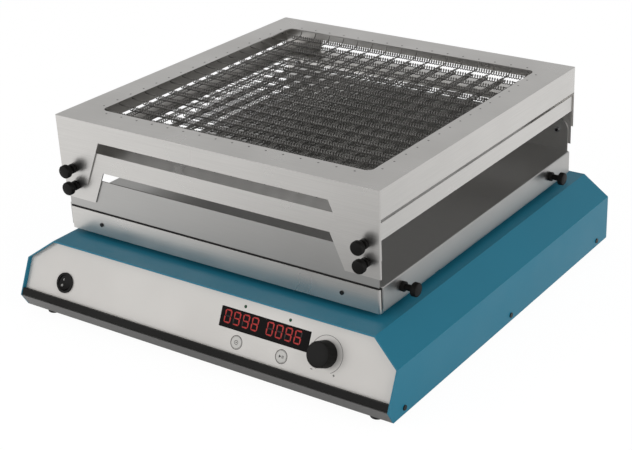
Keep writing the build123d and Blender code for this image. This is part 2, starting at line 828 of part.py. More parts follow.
# Tray: floor with front and rear walls up, and side flanges down beside the table
tray_z = table_top_z + mat_t
wall_corner_r = 15.0
with BuildPart() as base_tray:
    with BuildSketch(Plane.YZ.offset(table_x)):
        with Locations((table_y, tray_z)):
            Polygon(
                (-tray_d / 2, 0), (tray_d / 2, 0), (tray_d / 2, tray_rear_h),
                (tray_d / 2 - sheet_t, tray_rear_h), (tray_d / 2 - sheet_t, sheet_t),
                (-tray_d / 2 + sheet_t, sheet_t), (-tray_d / 2 + sheet_t, tray_front_h),
                (-tray_d / 2, tray_front_h),
                align=None,
            )
    extrude(amount=tray_wall_w / 2, both=True)
    fillet(base_tray.edges().filter_by(Axis.Y).group_by(Axis.Z)[-1], wall_corner_r)
    with BuildSketch(Plane.XZ.offset(-table_y)):
        with Locations((table_x, tray_z)):
            Polygon(
                (-tray_floor_w / 2, sheet_t), (tray_floor_w / 2, sheet_t),
                (tray_floor_w / 2, sheet_t - tray_flange_h),
                (tray_floor_w / 2 - sheet_t, sheet_t - tray_flange_h),
                (tray_floor_w / 2 - sheet_t, 0), (-tray_floor_w / 2 + sheet_t, 0),
                (-tray_floor_w / 2 + sheet_t, sheet_t - tray_flange_h),
                (-tray_floor_w / 2, sheet_t - tray_flange_h),
                align=None,
            )
    extrude(amount=tray_flange_l / 2, both=True)
    with BuildSketch(Plane.XZ.offset(-table_y - tray_d / 2)):
        with Locations(*[(table_x + s * corner_screw_x, lower_screw_z) for s in (-1, 1)]):
            Circle(screw_r + loose_gap)
    extrude(amount=tray_d, mode=Mode.SUBTRACT)
    with BuildSketch(Plane.YZ.offset(table_x - tray_floor_w / 2)):
        with Locations(*[(table_y + y, side_screw_z) for y in side_screw_y]):
            Circle(screw_r + loose_gap)
    extrude(amount=tray_floor_w, mode=Mode.SUBTRACT)
base_tray.part.label = "base_tray"


def spring_frame(width, depth, top_z, side_skirt, front_skirt, leg_z, leg_w, screw_zs):
    """Bent frame: flat top with a wide opening, skirts all round and four legs front and rear."""
    leg = top_z - leg_z
    gap_half = width / 2 - leg_w
    spread = (leg - front_skirt) * tan(radians(leg_slope))
    with BuildPart() as frame:
        with BuildSketch(Plane.XY.offset(top_z)):
            with Locations(table_mid):
                Rectangle(width, depth)
        extrude(amount=-leg)
        fillet(frame.edges().filter_by(Axis.Z), 2)
        offset(amount=-sheet_t, openings=frame.faces().sort_by(Axis.Z)[0])
        with BuildSketch(Plane.XY.offset(top_z)):
            with Locations(table_mid):
                RectangleRounded(opening_w, opening_d, opening_corner_r)
        extrude(amount=-2 * sheet_t, mode=Mode.SUBTRACT)
        with BuildSketch(Plane.XY.offset(top_z - side_skirt)):
            with Locations(table_mid):
                Rectangle(width + 2, depth - 2 * sheet_t)
        extrude(amount=-leg, mode=Mode.SUBTRACT)
        with BuildSketch(Plane.XZ.offset(-table_y - depth / 2)):
            with Locations((table_x, top_z)):
                Polygon(
                    (-gap_half, -front_skirt), (gap_half, -front_skirt),
                    (gap_half + spread, -leg), (-gap_half - spread, -leg),
                    align=None,
                )
            with Locations(*[(table_x + s * corner_screw_x, z) for s in (-1, 1) for z in screw_zs]):
                Circle(screw_r + loose_gap)
        extrude(amount=depth, mode=Mode.SUBTRACT)
    return frame.part


upper_frame = spring_frame(
    upper_w, upper_d, upper_top_z, upper_side_h, upper_front_h, upper_leg_z, upper_leg_w,
    [upper_screw_z],
)
upper_frame.label = "upper_frame"
lower_frame = spring_frame(
    lower_w, lower_d, lower_top_z, lower_side_h, lower_front_h, lower_leg_z, lower_leg_w,
    [upper_screw_z, lower_screw_z],
)
lower_frame.label = "lower_frame"


def spring_row(top_z, reach, layer, along_x):
    """One layer of parallel springs: plain rods for the coils, with a hook up to the top each end."""
    z = top_z - spring_drop - layer * (2 * spring_r + loose_gap)
    edge = (opening_w if along_x else opening_d) / 2
    coil, hook = edge - coil_inset, edge + reach
    with BuildPart() as spring:
        with BuildSketch(Plane.YZ.offset(-coil)):
            Circle(spring_r)
        extrude(amount=2 * coil)
        with BuildSketch(Plane.YZ.offset(-hook)):
            Circle(hook_r)
        extrude(amount=2 * hook)
        with BuildSketch():
            with Locations((-hook, 0), (hook, 0)):
                Circle(hook_r)
        extrude(amount=top_z - sheet_t - seat_gap - z)
    span = (spring_count - 1) / 2 * spring_pitch
    with BuildPart() as row:
        for i in range(spring_count):
            shift = i * spring_pitch - span
            place = (table_x, table_y + shift, z) if along_x else (table_x + shift, table_y, z)
            with Locations(Location(place, (0, 0, 0 if along_x else 90))):
                add(spring.part)
    return row.part


def thumb_screw(face, neck_l, reach):
    """Knurled thumb screw seen from its seat: collar, neck, head, and a shank into its nut."""
    out = collar_l + neck_l
    with BuildPart() as screw:
        for start, length, radius in (
            (loose_gap, collar_l - loose_gap, collar_r),
            (collar_l, neck_l, neck_r),
            (out, head_l, head_r),
        ):
            with BuildSketch(face.offset(start)):
                Circle(radius)
            extrude(amount=length)
        with BuildSketch(face.offset(loose_gap)):
            Circle(screw_r)
        extrude(amount=-reach - loose_gap)
        chamfer(screw.faces().sort_by(Axis(face.origin, face.z_dir))[-1].edges(), 0.8)
    return screw.part


def screw_nut(face, depth):
    """Round weld nut on the inner side of a wall, depth behind the screw's seat."""
    with BuildPart() as nut:
        with BuildSketch(face.offset(-depth)):
            Circle(nut_r)
            Circle(screw_r + run_gap, mode=Mode.SUBTRACT)
        extrude(amount=-nut_l)
    return nut.part


def corner_face(side_x, side_y, half_depth, z):
    """Seat of a corner thumb screw on the outer face of a front or rear leg."""
    origin = (table_x + side_x * corner_screw_x, table_y + side_y * half_depth, z)
    return Plane(origin=origin, x_dir=(-side_y, 0, 0), z_dir=(0, side_y, 0))


def side_face(side_x, y):
    """Seat of a side thumb screw on the outer face of a tray flange."""
    origin = (table_x + side_x * tray_floor_w / 2, table_y + y, side_screw_z)
    return Plane(origin=origin, x_dir=(0, side_x, 0), z_dir=(side_x, 0, 0))


springs = {
    "upper_springs_x": spring_row(upper_top_z, upper_hook_reach, 0, True),
    "upper_springs_y": spring_row(upper_top_z, upper_hook_reach, 1, False),
    "lower_springs_x": spring_row(lower_top_z, lower_hook_reach, 0, True),
    "lower_springs_y": spring_row(lower_top_z, lower_hook_reach, 1, False),
}

# Each thumb screw: its name, its seat, its neck and the walls between its seat and its nut
lower_walls = (lower_d - tray_d) / 2 + sheet_t
upper_walls = (upper_d - lower_d) / 2 + sheet_t
flange_walls = sheet_t + tray_side_gap + table_t
seats = []
for fore, side_y in (("front", -1), ("rear", 1)):
    for hand, side_x in (("left", -1), ("right", 1)):
        upper = corner_face(side_x, side_y, upper_d / 2, upper_screw_z)
        lower = corner_face(side_x, side_y, lower_d / 2, lower_screw_z)
        side = side_face(side_x, side_screw_y[0] if side_y < 0 else side_screw_y[1])
        seats.append((f"upper_thumb_screw_{fore}_{hand}", upper, corner_neck_l, upper_walls))
        seats.append((f"lower_thumb_screw_{fore}_{hand}", lower, corner_neck_l, lower_walls))
        seats.append((f"side_thumb_screw_{fore}_{hand}", side, side_neck_l, flange_walls))

thumb_screws = {
    name: thumb_screw(face, neck, walls + nut_l + 1) for name, face, neck, walls in seats
}

with BuildPart() as clamp_nuts:
    for name, face, neck, walls in seats:
        add(screw_nut(face, walls))
clamp_nuts.part.label = "clamp_nuts"

pieces = {
    "base_pan": base_pan.part,
    "housing_cover": housing_cover.part,
    "front_panel": front_panel.part,
    "front_trim_strip": front_trim_strip.part,
    "rear_panel": rear_panel.part,
    "power_inlet": power_inlet.part,
    "switch_housing": switch_housing.part,
    "power_rocker": power_rocker.part,
    "display_window": display_window.part,
    "display_board": display_board.part,
    "status_leds": status_leds.part,
    "left_key": left_key,
    "right_key": right_key,
    "encoder_body": encoder_body.part,
    "encoder_shaft": encoder_shaft.part,
    "speed_knob": speed_knob.part,
    "rubber_feet": rubber_feet.part,
    "foot_screws": foot_screws.part,
    "cover_screws": cover_screws.part,
    "bearing_housings": bearing_housings.part,
    "shaft_bearings": shaft_bearings.part,
    "main_crankshaft": main_crankshaft,
    "main_pulley": main_pulley.part,
    "counterweight": counterweight.part,
    "drive_motor": drive_motor.part,
    "motor_bracket": motor_bracket.part,
    "motor_shaft": motor_shaft.part,
    "motor_pulley": motor_pulley.part,
    "drive_belt": drive_belt.part,
    "power_supply": power_supply.part,
    "control_board": control_board.part,
    "table_plate": table_plate.part,
    "skirt_screws": skirt_screws.part,
    "table_hubs": table_hubs.part,
    "hub_bearings": hub_bearings.part,
    "grip_mat": grip_mat.part,
    "base_tray": base_tray.part,
    "lower_frame": lower_frame,
    "upper_frame": upper_frame,
    "clamp_nuts": clamp_nuts.part,
}
for number, part in enumerate(idler_cranks, start=1):
    pieces[f"idler_crank_{number}"] = part
pieces.update(springs)
pieces.update(thumb_screws)
for name, part in pieces.items():
    part.label = name
    export_step(part, f"parts/{name}.step")
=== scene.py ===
import json
import math

import bmesh
import bpy
from mathutils import Matrix, Vector
from mathutils.bvhtree import BVHTree

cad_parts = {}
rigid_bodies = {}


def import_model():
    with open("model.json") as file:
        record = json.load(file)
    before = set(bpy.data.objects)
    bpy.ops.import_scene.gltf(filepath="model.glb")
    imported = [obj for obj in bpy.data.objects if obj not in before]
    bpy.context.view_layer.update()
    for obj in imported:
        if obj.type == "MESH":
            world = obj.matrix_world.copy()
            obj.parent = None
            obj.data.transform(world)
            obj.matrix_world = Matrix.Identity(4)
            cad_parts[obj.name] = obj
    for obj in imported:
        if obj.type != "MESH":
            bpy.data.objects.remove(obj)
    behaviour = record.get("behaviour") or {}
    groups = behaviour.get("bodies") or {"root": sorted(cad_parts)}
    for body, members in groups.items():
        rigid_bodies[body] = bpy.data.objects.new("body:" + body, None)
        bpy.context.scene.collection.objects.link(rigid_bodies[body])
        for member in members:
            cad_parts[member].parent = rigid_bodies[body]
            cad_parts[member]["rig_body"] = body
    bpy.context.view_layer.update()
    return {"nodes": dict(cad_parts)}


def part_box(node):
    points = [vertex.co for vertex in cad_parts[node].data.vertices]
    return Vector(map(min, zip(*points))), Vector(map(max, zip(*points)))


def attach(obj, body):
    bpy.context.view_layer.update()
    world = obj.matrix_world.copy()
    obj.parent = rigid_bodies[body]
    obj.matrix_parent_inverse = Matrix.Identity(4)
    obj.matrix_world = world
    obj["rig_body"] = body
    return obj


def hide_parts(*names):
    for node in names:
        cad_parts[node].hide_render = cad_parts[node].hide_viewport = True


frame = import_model()
scene = bpy.context.scene
scene.view_settings.view_transform = "Standard"

# The photograph's view: a long lens to the front right of the shaker, looking down on it.
# The picture is cut from the left of what the lens saw, and the shift carries that.
lens = bpy.data.cameras.new("photo_camera")
lens.lens = 80.55
lens.sensor_width = 36
lens.shift_x = -0.14873
camera = bpy.data.objects.new("photo_camera", lens)
scene.collection.objects.link(camera)
camera.matrix_world = (
    Matrix.Translation((0.91558, -1.25213, 0.78236))
    @ Matrix.Rotation(math.radians(32.372), 4, "Z")
    @ Matrix.Rotation(math.radians(90 - 24.804), 4, "X")
    @ Matrix.Rotation(math.radians(-1.015), 4, "Z")
)
scene.camera = camera


def place(tree, kind, inputs=None, **settings):
    """Adds a node with its settings; an input is a plain value or another node's output."""
    made = tree.nodes.new(kind)
    for key, value in settings.items():
        setattr(made, key, value)
    for key, value in (inputs or {}).items():
        if isinstance(value, bpy.types.NodeSocket):
            tree.links.new(value, made.inputs[key])
        else:
            made.inputs[key].default_value = value
    return made


# The studio: a plain white floor that shows white to the lens and, in polished metal, a painted light
# gradient with a painted shadow, dimmer close to the shaker, under a pale room that is dimmer overhead, with
# two large soft lamps.
floor_mesh = bmesh.new()
bmesh.ops.create_grid(floor_mesh, x_segments=1, y_segments=1, size=9)
floor_data = bpy.data.meshes.new("studio_floor")
floor_mesh.to_mesh(floor_data)
floor_mesh.free()
floor = bpy.data.objects.new("studio_floor", floor_data)
scene.collection.objects.link(floor)
floor_white = bpy.data.materials.new("studio_white")
floor_white.use_nodes = True
tree = floor_white.node_tree
rays = place(tree, "ShaderNodeLightPath").outputs
seen = place(
    tree, "ShaderNodeMath", {0: rays["Is Camera Ray"], 1: rays["Is Transmission Ray"]}, operation="MAXIMUM"
)
seen = place(tree, "ShaderNodeMath", {0: seen.outputs[0], 1: 0.9}, operation="MULTIPLY")
polished = place(tree, "ShaderNodeMath", {0: rays["Is Glossy Ray"], 1: 0.6}, operation="MULTIPLY")
seen = place(tree, "ShaderNodeMath", {0: seen.outputs[0], 1: polished.outputs[0]}, operation="MAXIMUM")
paper = place(tree, "ShaderNodeBsdfDiffuse", {"Color": (0.88, 0.88, 0.88, 1)})
# Painted light, for glossy rays only: a gradient across the floor, times a painted shadow that dims it close
# to the shaker.
spot = place(tree, "ShaderNodeTexCoord").outputs["Object"]
along = place(tree, "ShaderNodeVectorMath", {0: spot, 1: (-0.8, 0.76, 0)}, operation="DOT_PRODUCT")
painted_light_and_shadow = place(tree, "ShaderNodeMapRange", {
    "Value": along.outputs["Value"], "From Min": -0.43, "From Max": 0.02, "To Min": 0.8, "To Max": 1.25,
})
moved = place(tree, "ShaderNodeVectorMath", {0: spot, 1: (-0.06, 0.33, 0)}, operation="ADD")
squashed = place(tree, "ShaderNodeVectorMath", {0: moved.outputs[0], 1: (1, 1.6, 0)}, operation="MULTIPLY")
away = place(tree, "ShaderNodeVectorMath", {0: squashed.outputs[0]}, operation="LENGTH")
painted_shadow_near_shaker = place(tree, "ShaderNodeMapRange", {
    "Value": away.outputs["Value"], "From Min": 0.1, "From Max": 0.45, "To Min": 0.33, "To Max": 1.0,
}, interpolation_type="SMOOTHSTEP")
painted_light_and_shadow = place(tree, "ShaderNodeMath", {0: painted_light_and_shadow.outputs[0], 1: painted_shadow_near_shaker.outputs[0]}, operation="MULTIPLY")
flat = place(tree, "ShaderNodeMix", {"Factor": rays["Is Glossy Ray"], "A": 1.06, "B": painted_light_and_shadow.outputs[0]})
glow = place(tree, "ShaderNodeEmission", {"Color": (1, 1, 1, 1), "Strength": flat.outputs[0]})
white = place(tree, "ShaderNodeMixShader", {0: seen.outputs[0], 1: paper.outputs[0], 2: glow.outputs[0]})
clear = place(tree, "ShaderNodeBsdfTransparent")
under = place(tree, "ShaderNodeNewGeometry").outputs["Backfacing"]
both = place(tree, "ShaderNodeMixShader", {0: under, 1: white.outputs[0], 2: clear.outputs[0]})
tree.links.new(both.outputs[0], tree.nodes["Material Output"].inputs["Surface"])
floor_data.materials.append(floor_white)

room = bpy.data.worlds.new("studio_room")
scene.world = room
room.use_nodes = True
tree = room.node_tree
sky = place(tree, "ShaderNodeTexCoord").outputs["Generated"]
height = place(tree, "ShaderNodeSeparateXYZ", {0: sky}).outputs["Z"]
level = place(tree, "ShaderNodeMapRange", {
    "Value": height, "From Min": 0.3, "From Max": 0.85, "To Min": 0.7, "To Max": 0.28,
})
room_light = place(tree, "ShaderNodeBackground", {"Color": (1, 1, 1, 1), "Strength": level.outputs[0]})
room_seen = place(tree, "ShaderNodeBackground", {"Color": (1, 1, 1, 1), "Strength": 1.0})
camera_ray = place(tree, "ShaderNodeLightPath").outputs["Is Camera Ray"]
either = place(
    tree, "ShaderNodeMixShader", {0: camera_ray, 1: room_light.outputs[0], 2: room_seen.outputs[0]}
)
tree.links.new(either.outputs[0], tree.nodes["World Output"].inputs["Surface"])

for name, spot, size, power in (
    ("right_softbox", (2.6, -0.3, 1.1), 2.0, 26),
    ("front_softbox", (-1.3, -2.4, 0.85), 2.0, 22),
):
    lamp = bpy.data.lights.new(name, "AREA")
    lamp.size = size
    lamp.energy = power
    holder = bpy.data.objects.new(name, lamp)
    scene.collection.objects.link(holder)
    holder.location = spot
    holder.rotation_euler = (Vector((0, 0, 0.1)) - Vector(spot)).to_track_quat("-Z", "Y").to_euler()


# Housing cover: one steel sheet folded over the base, with sloping shoulders at both sides.
# It is powder coated blue-green, with a fine orange peel, and held by screws low at each side.
mm = 0.001


def rgb(red, green, blue):
    """A colour as it looks on a screen, 0 to 255, as the shader's linear values."""
    parts = [c / 255 for c in (red, green, blue)]
    return tuple(c / 12.92 if c <= 0.04045 else ((c + 0.055) / 1.055) ** 2.4 for c in parts) + (1,)


def new_group(name, inputs, outputs):
    """An empty node group with named sockets, and its input and output ends."""
    group = bpy.data.node_groups.new(name, "ShaderNodeTree")
    for key, kind in inputs:
        group.interface.new_socket(key, in_out="INPUT", socket_type="NodeSocket" + kind)
    for key in outputs:
        group.interface.new_socket(key, in_out="OUTPUT", socket_type="NodeSocketFloat")
    return group, group.nodes.new("NodeGroupInput").outputs, group.nodes.new("NodeGroupOutput").inputs


# Fine skin: the orange peel of paint, the grain of a moulding or a casting, and a slow change of shade
skin_group, given, result = new_group(
    "fine_skin", [("Vector", "Vector"), ("Scale", "Float")], ["Height", "Shade"]
)
pores = place(skin_group, "ShaderNodeTexNoise", {
    "Vector": given["Vector"], "Scale": given["Scale"], "Detail": 2.0,
})
wide = place(skin_group, "ShaderNodeMath", {0: given["Scale"], 1: 0.012}, operation="MULTIPLY")
cloud = place(skin_group, "ShaderNodeTexNoise", {
    "Vector": given["Vector"], "Scale": wide.outputs[0], "Detail": 3.0,
})
skin_group.links.new(pores.outputs["Fac"], result["Height"])
skin_group.links.new(cloud.outputs["Fac"], result["Shade"])

# Rim wear: the rounded edges carry a rim value, and handling thins the finish there in patches
rim_group, given, result = new_group(
    "rim_wear", [("Vector", "Vector"), ("Rim", "Float"), ("Amount", "Float")], ["Mask"]
)
patches = place(rim_group, "ShaderNodeTexNoise", {"Vector": given["Vector"], "Scale": 60.0, "Detail": 5.0})
broken = place(rim_group, "ShaderNodeMapRange", {
    "Value": patches.outputs["Fac"], "From Min": 0.42, "From Max": 0.62,
})
on_rim = place(rim_group, "ShaderNodeMath", {0: broken.outputs[0], 1: given["Rim"]}, operation="MULTIPLY")
scaled = place(rim_group, "ShaderNodeMath", {0: on_rim.outputs[0], 1: given["Amount"]}, operation="MULTIPLY")
rim_group.links.new(scaled.outputs[0], result["Mask"])

# Handling marks: faint wipes and fingerprints that change only how sharply a surface shines
marks_group, given, result = new_group("handling_marks", [("Vector", "Vector"), ("Scale", "Float")], ["Mask"])
smear = place(marks_group, "ShaderNodeTexNoise", {
    "Vector": given["Vector"], "Scale": given["Scale"], "Detail": 2.0,
})
faint = place(marks_group, "ShaderNodeMapRange", {
    "Value": smear.outputs["Fac"], "From Min": 0.3, "From Max": 0.75,
}, interpolation_type="SMOOTHSTEP")
marks_group.links.new(faint.outputs[0], result["Mask"])

# Brush lines: the long fine scratches of ground steel, along X on most faces and along Y on the side walls
brush_group, given, result = new_group(
    "brush_lines", [("Vector", "Vector"), ("Facing", "Vector"), ("Fineness", "Float")], ["Lines"]
)
facing = place(brush_group, "ShaderNodeSeparateXYZ", {0: given["Facing"]})
turned = place(brush_group, "ShaderNodeMath", {0: facing.outputs["X"]}, operation="ABSOLUTE")
sideways = place(brush_group, "ShaderNodeMath", {0: turned.outputs[0], 1: 0.7}, operation="GREATER_THAN")
stretch = place(brush_group, "ShaderNodeMix", {
    "Factor": sideways.outputs[0], 4: (0.012, 1, 1), 5: (1, 0.012, 1),
}, data_type="VECTOR")
finer = place(brush_group, "ShaderNodeVectorMath", {
    0: stretch.outputs[1], "Scale": given["Fineness"],
}, operation="SCALE")
drawn = place(
    brush_group, "ShaderNodeVectorMath", {0: given["Vector"], 1: finer.outputs[0]}, operation="MULTIPLY"
)
lines = place(brush_group, "ShaderNodeTexNoise", {
    "Vector": drawn.outputs[0], "Scale": 1.0, "Detail": 4.0, "Roughness": 0.6,
})
brush_group.links.new(lines.outputs["Fac"], result["Lines"])


def finish(
    name, colour, roughness, metallic=0.0, scale=900.0, depth=0.01, shade=0.05, worn=None, brushed=0.0,
    specular=0.2,
):
    """A finish from the shared effects: its colour, skin or brush lines, worn rims and handling marks."""
    made = bpy.data.materials.new(name)
    made.use_nodes = True
    made["slot"] = name
    tree = made.node_tree
    shader = tree.nodes["Principled BSDF"]
    shader.inputs["Metallic"].default_value = metallic
    shader.inputs["Specular IOR Level"].default_value = 0.5 if metallic > 0.5 else specular
    where = place(tree, "ShaderNodeTexCoord").outputs
    skin = place(tree, "ShaderNodeGroup", {}, node_tree=skin_group)
    skin.inputs["Scale"].default_value = scale
    tree.links.new(where["Object"], skin.inputs["Vector"])
    relief, varied = skin.outputs["Height"], skin.outputs["Shade"]
    if brushed:
        brush = place(tree, "ShaderNodeGroup", {}, node_tree=brush_group)
        brush.inputs["Fineness"].default_value = brushed
        tree.links.new(where["Object"], brush.inputs["Vector"])
        tree.links.new(where["Normal"], brush.inputs["Facing"])
        relief = varied = brush.outputs["Lines"]
    dark = tuple(c * (1 - shade) for c in colour[:3]) + (1,)
    light = tuple(min(1, c * (1 + shade)) for c in colour[:3]) + (1,)
    base = place(tree, "ShaderNodeMix", {"Factor": varied, 6: dark, 7: light}, data_type="RGBA").outputs[2]
    if worn:
        rim = place(tree, "ShaderNodeAttribute", attribute_name="rim").outputs["Fac"]
        wear = place(tree, "ShaderNodeGroup", {}, node_tree=rim_group)
        wear.inputs["Amount"].default_value = worn[1]
        tree.links.new(where["Object"], wear.inputs["Vector"])
        tree.links.new(rim, wear.inputs["Rim"])
        worn_through = {"Factor": wear.outputs["Mask"], 6: base, 7: worn[0]}
        base = place(tree, "ShaderNodeMix", worn_through, data_type="RGBA").outputs[2]
    tree.links.new(base, shader.inputs["Base Color"])
    marks = place(tree, "ShaderNodeGroup", {}, node_tree=marks_group)
    marks.inputs["Scale"].default_value = 14.0
    tree.links.new(where["Object"], marks.inputs["Vector"])
    shine = place(tree, "ShaderNodeMapRange", {
        "Value": marks.outputs["Mask"], "To Min": roughness - 0.03, "To Max": roughness + 0.05,
    })
    tree.links.new(shine.outputs[0], shader.inputs["Roughness"])
    bump = place(tree, "ShaderNodeBump", {"Height": relief, "Distance": depth * mm, "Strength": 1.0})
    tree.links.new(bump.outputs[0], shader.inputs["Normal"])
    return made


def put(name, bm, body, made_of, *nodes, in_record=True):
    """Closes a mesh into a piece that rides on its body and stands for the nodes it replaces."""
    mesh = bpy.data.meshes.new(name)
    bm.to_mesh(mesh)
    bm.free()
    mesh.materials.append(made_of)
    piece = bpy.data.objects.new(name, mesh)
    scene.collection.objects.link(piece)
    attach(piece, body)
    if nodes:
        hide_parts(*nodes)
    return piece


def rounded(node, made_of, radius, steps=2, sharp=28, name=None, bend=None):
    """A copy of a node's solid, merged, with its sharp edges rounded off and marked as rim.

    A bend is the height of a folded sheet's outer edge and its own larger radius."""
    bm = bmesh.new()
    bm.from_mesh(frame["nodes"][node].data)
    bmesh.ops.remove_doubles(bm, verts=bm.verts, dist=0.001 * mm)
    bmesh.ops.dissolve_limit(bm, angle_limit=math.radians(0.4), verts=bm.verts, edges=bm.edges)
    rim = bm.faces.layers.float.new("rim")
    if bend:
        low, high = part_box(node)
        sides = [(i, side[i]) for i in (0, 1) for side in (low, high)]
        folds = [
            e for e in bm.edges
            if all(abs(v.co.z - bend[0] * mm) < 0.1 * mm for v in e.verts)
            and any(all(abs(v.co[i] - at) < 0.1 * mm for v in e.verts) for i, at in sides)
        ]
        bmesh.ops.bevel(
            bm, geom=folds, offset=bend[1] * mm, offset_type="OFFSET", affect="EDGES", segments=4,
            profile=0.5, material=-1, clamp_overlap=True, loop_slide=True,
        )
    edges = [e for e in bm.edges if len(e.link_faces) == 2 and e.calc_face_angle() > math.radians(sharp)]
    made = bmesh.ops.bevel(
        bm, geom=edges, offset=radius * mm, offset_type="OFFSET", affect="EDGES", segments=steps,
        profile=0.5, material=-1, clamp_overlap=True, loop_slide=True,
    )
    for face in made["faces"]:
        face[rim] = 1.0
    for face in bm.faces:
        face.smooth = True
    piece = put(name or node + "_sheet", bm, frame["nodes"][node]["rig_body"], made_of, node)
    piece.modifiers.new("even_shading", "WEIGHTED_NORMAL").weight = 80
    return piece


blue_paint = finish(
    "blue_paint", rgb(38, 120, 145), 0.38, scale=700, depth=0.012, worn=(rgb(70, 140, 162), 0.2)
)
rounded("housing_cover", blue_paint, 0.3)

# Base pan and rear panel: folded steel under and behind the cover, painted plain grey.
# The pan's front wall leans out as the lip below the control panel.
pan_grey = finish(
    "pan_grey", rgb(118, 117, 116), 0.45, scale=800, depth=0.012, worn=(rgb(170, 170, 170), 0.4)
)
for node in ("base_pan", "rear_panel"):
    rounded(node, pan_grey, 0.3)

# Control panel: a leaning silver plate set back between the cover's edges, satin painted.
# A black strip runs along its foot, above the lip.
panel_silver = finish(
    "panel_silver", rgb(208, 205, 201), 0.42, metallic=0.15, scale=1400, depth=0.006, shade=0.03
)
black_plastic = finish(
    "black_plastic", rgb(22, 21, 20), 0.42, scale=1600, depth=0.012, shade=0.12,
    worn=(rgb(70, 69, 68), 0.5), specular=0.1,
)
rounded("front_panel", panel_silver, 0.25)
rounded("front_trim_strip", black_plastic, 0.4)

# Printed marks: thin black ink on the panel, an arc round the knob with its less and more signs,
# and a ring round each key. The places of the words are left bare.
lean = math.atan2(30, 64.8)
panel_face = (
    Matrix.Translation(Vector((0, -256.5 + 5 * math.cos(lean), 23.7 - 5 * math.sin(lean))) * mm)
    @ Matrix.Rotation(math.pi / 2 - lean, 4, "X")
    @ Matrix.Scale(mm, 4)
)


def band(bm, radius, width, thick, middle=(0, 0), start=0.0, sweep=360.0, steps=72):
    """A flat ring or arc: its four-cornered section is turned round its middle."""
    first = len(bm.verts)
    section = ((-width / 2, 0), (width / 2, 0), (width / 2, thick), (-width / 2, thick))
    corners = [bm.verts.new((radius + w, 0, t)) for w, t in section]
    edges = [bm.edges.new((corners[i], corners[i - 1])) for i in range(4)]
    bmesh.ops.rotate(bm, verts=corners, cent=(0, 0, 0), matrix=Matrix.Rotation(math.radians(start), 3, "Z"))
    bmesh.ops.spin(
        bm, geom=corners + edges, cent=(0, 0, 0), axis=(0, 0, 1), angle=math.radians(sweep),
        steps=steps, use_merge=sweep >= 360,
    )
    bm.verts.ensure_lookup_table()
    fresh = bm.verts[first:]
    bmesh.ops.holes_fill(bm, edges=list({e for v in fresh for e in v.link_edges if e.is_boundary}), sides=4)
    bmesh.ops.translate(bm, verts=fresh, vec=(*middle, 0))


def bar(bm, length, width, thick, middle=(0, 0), turn=0.0):
    """A short printed stroke with square ends."""
    place_it = (
        Matrix.Translation((*middle, thick / 2))
        @ Matrix.Rotation(math.radians(turn), 4, "Z")
        @ Matrix.Diagonal((length, width, thick, 1))
    )
    bmesh.ops.create_cube(bm, size=1, matrix=place_it)


def on_surface(node, across, up):
    """The spot of a node's surface in front of a panel place, with Z straight out of it."""
    out = panel_face.to_3x3().normalized() @ Vector((0, 0, 1))
    solid = bmesh.new()
    solid.from_mesh(frame["nodes"][node].data)
    spot, normal, _, _ = BVHTree.FromBMesh(solid).ray_cast(panel_face @ Vector((across, up, 60)), -out)
    solid.free()
    if spot is None:
        raise RuntimeError(f"nothing of {node} lies in front of {across}, {up}")
    along = Vector((1, 0, 0))
    upright = normal.cross(along).normalized()
    turn = Matrix((upright.cross(normal).normalized(), upright, normal)).transposed().to_4x4()
    return Matrix.Translation(spot) @ turn @ Matrix.Scale(mm, 4)


ink = finish("panel_ink", rgb(52, 50, 48), 0.6, scale=2500, depth=0.002)
bm = bmesh.new()
band(bm, 19.8, 0.45, 0.04, (167.4, 38.3), start=-63, sweep=306, steps=96)
for at in ((54.6, 21.9), (113.9, 21.9)):
    band(bm, 7.4, 0.7, 0.04, at, steps=64)
bar(bm, 2.6, 0.7, 0.04, (153.0, 19.2))
bar(bm, 2.6, 0.7, 0.04, (181.0, 19.3))
bar(bm, 0.7, 2.6, 0.05, (181.0, 19.3))
bmesh.ops.recalc_face_normals(bm, faces=bm.faces)
bm.transform(panel_face)
put("panel_printing", bm, "base", ink, in_record=False)

# Keys: two round caps of pale film over sprung switches, flush with the plate.
# The left one carries a plain ring and dot, the right one a bar and two short strokes.
key_film = finish("key_film", rgb(208, 206, 202), 0.5, scale=1800, depth=0.004, shade=0.02)
for node, at in (("left_key", (54.6, 21.9)), ("right_key", (113.9, 21.9))):
    rounded(node, key_film, 0.35, name=node + "_cap")
    bm = bmesh.new()
    if node == "left_key":
        band(bm, 2.2, 0.5, 0.04, steps=40)
        dot = Matrix.Translation((0, 0, 0.04))
        bmesh.ops.create_circle(bm, cap_ends=True, segments=24, radius=0.7, matrix=dot)
    else:
        arrow = Matrix.Translation((-1.7, 0, 0.04)) @ Matrix.Rotation(-math.pi / 2, 4, "Z")
        bmesh.ops.create_circle(bm, cap_ends=True, segments=3, radius=1.9, matrix=arrow)
        bar(bm, 0.7, 2.9, 0.04, (1.3, 0))
        bar(bm, 0.7, 2.9, 0.04, (2.7, 0))
    bmesh.ops.recalc_face_normals(bm, faces=bm.faces)
    bm.transform(on_surface(node, *at))
    put(node + "_mark", bm, node, ink, in_record=False)

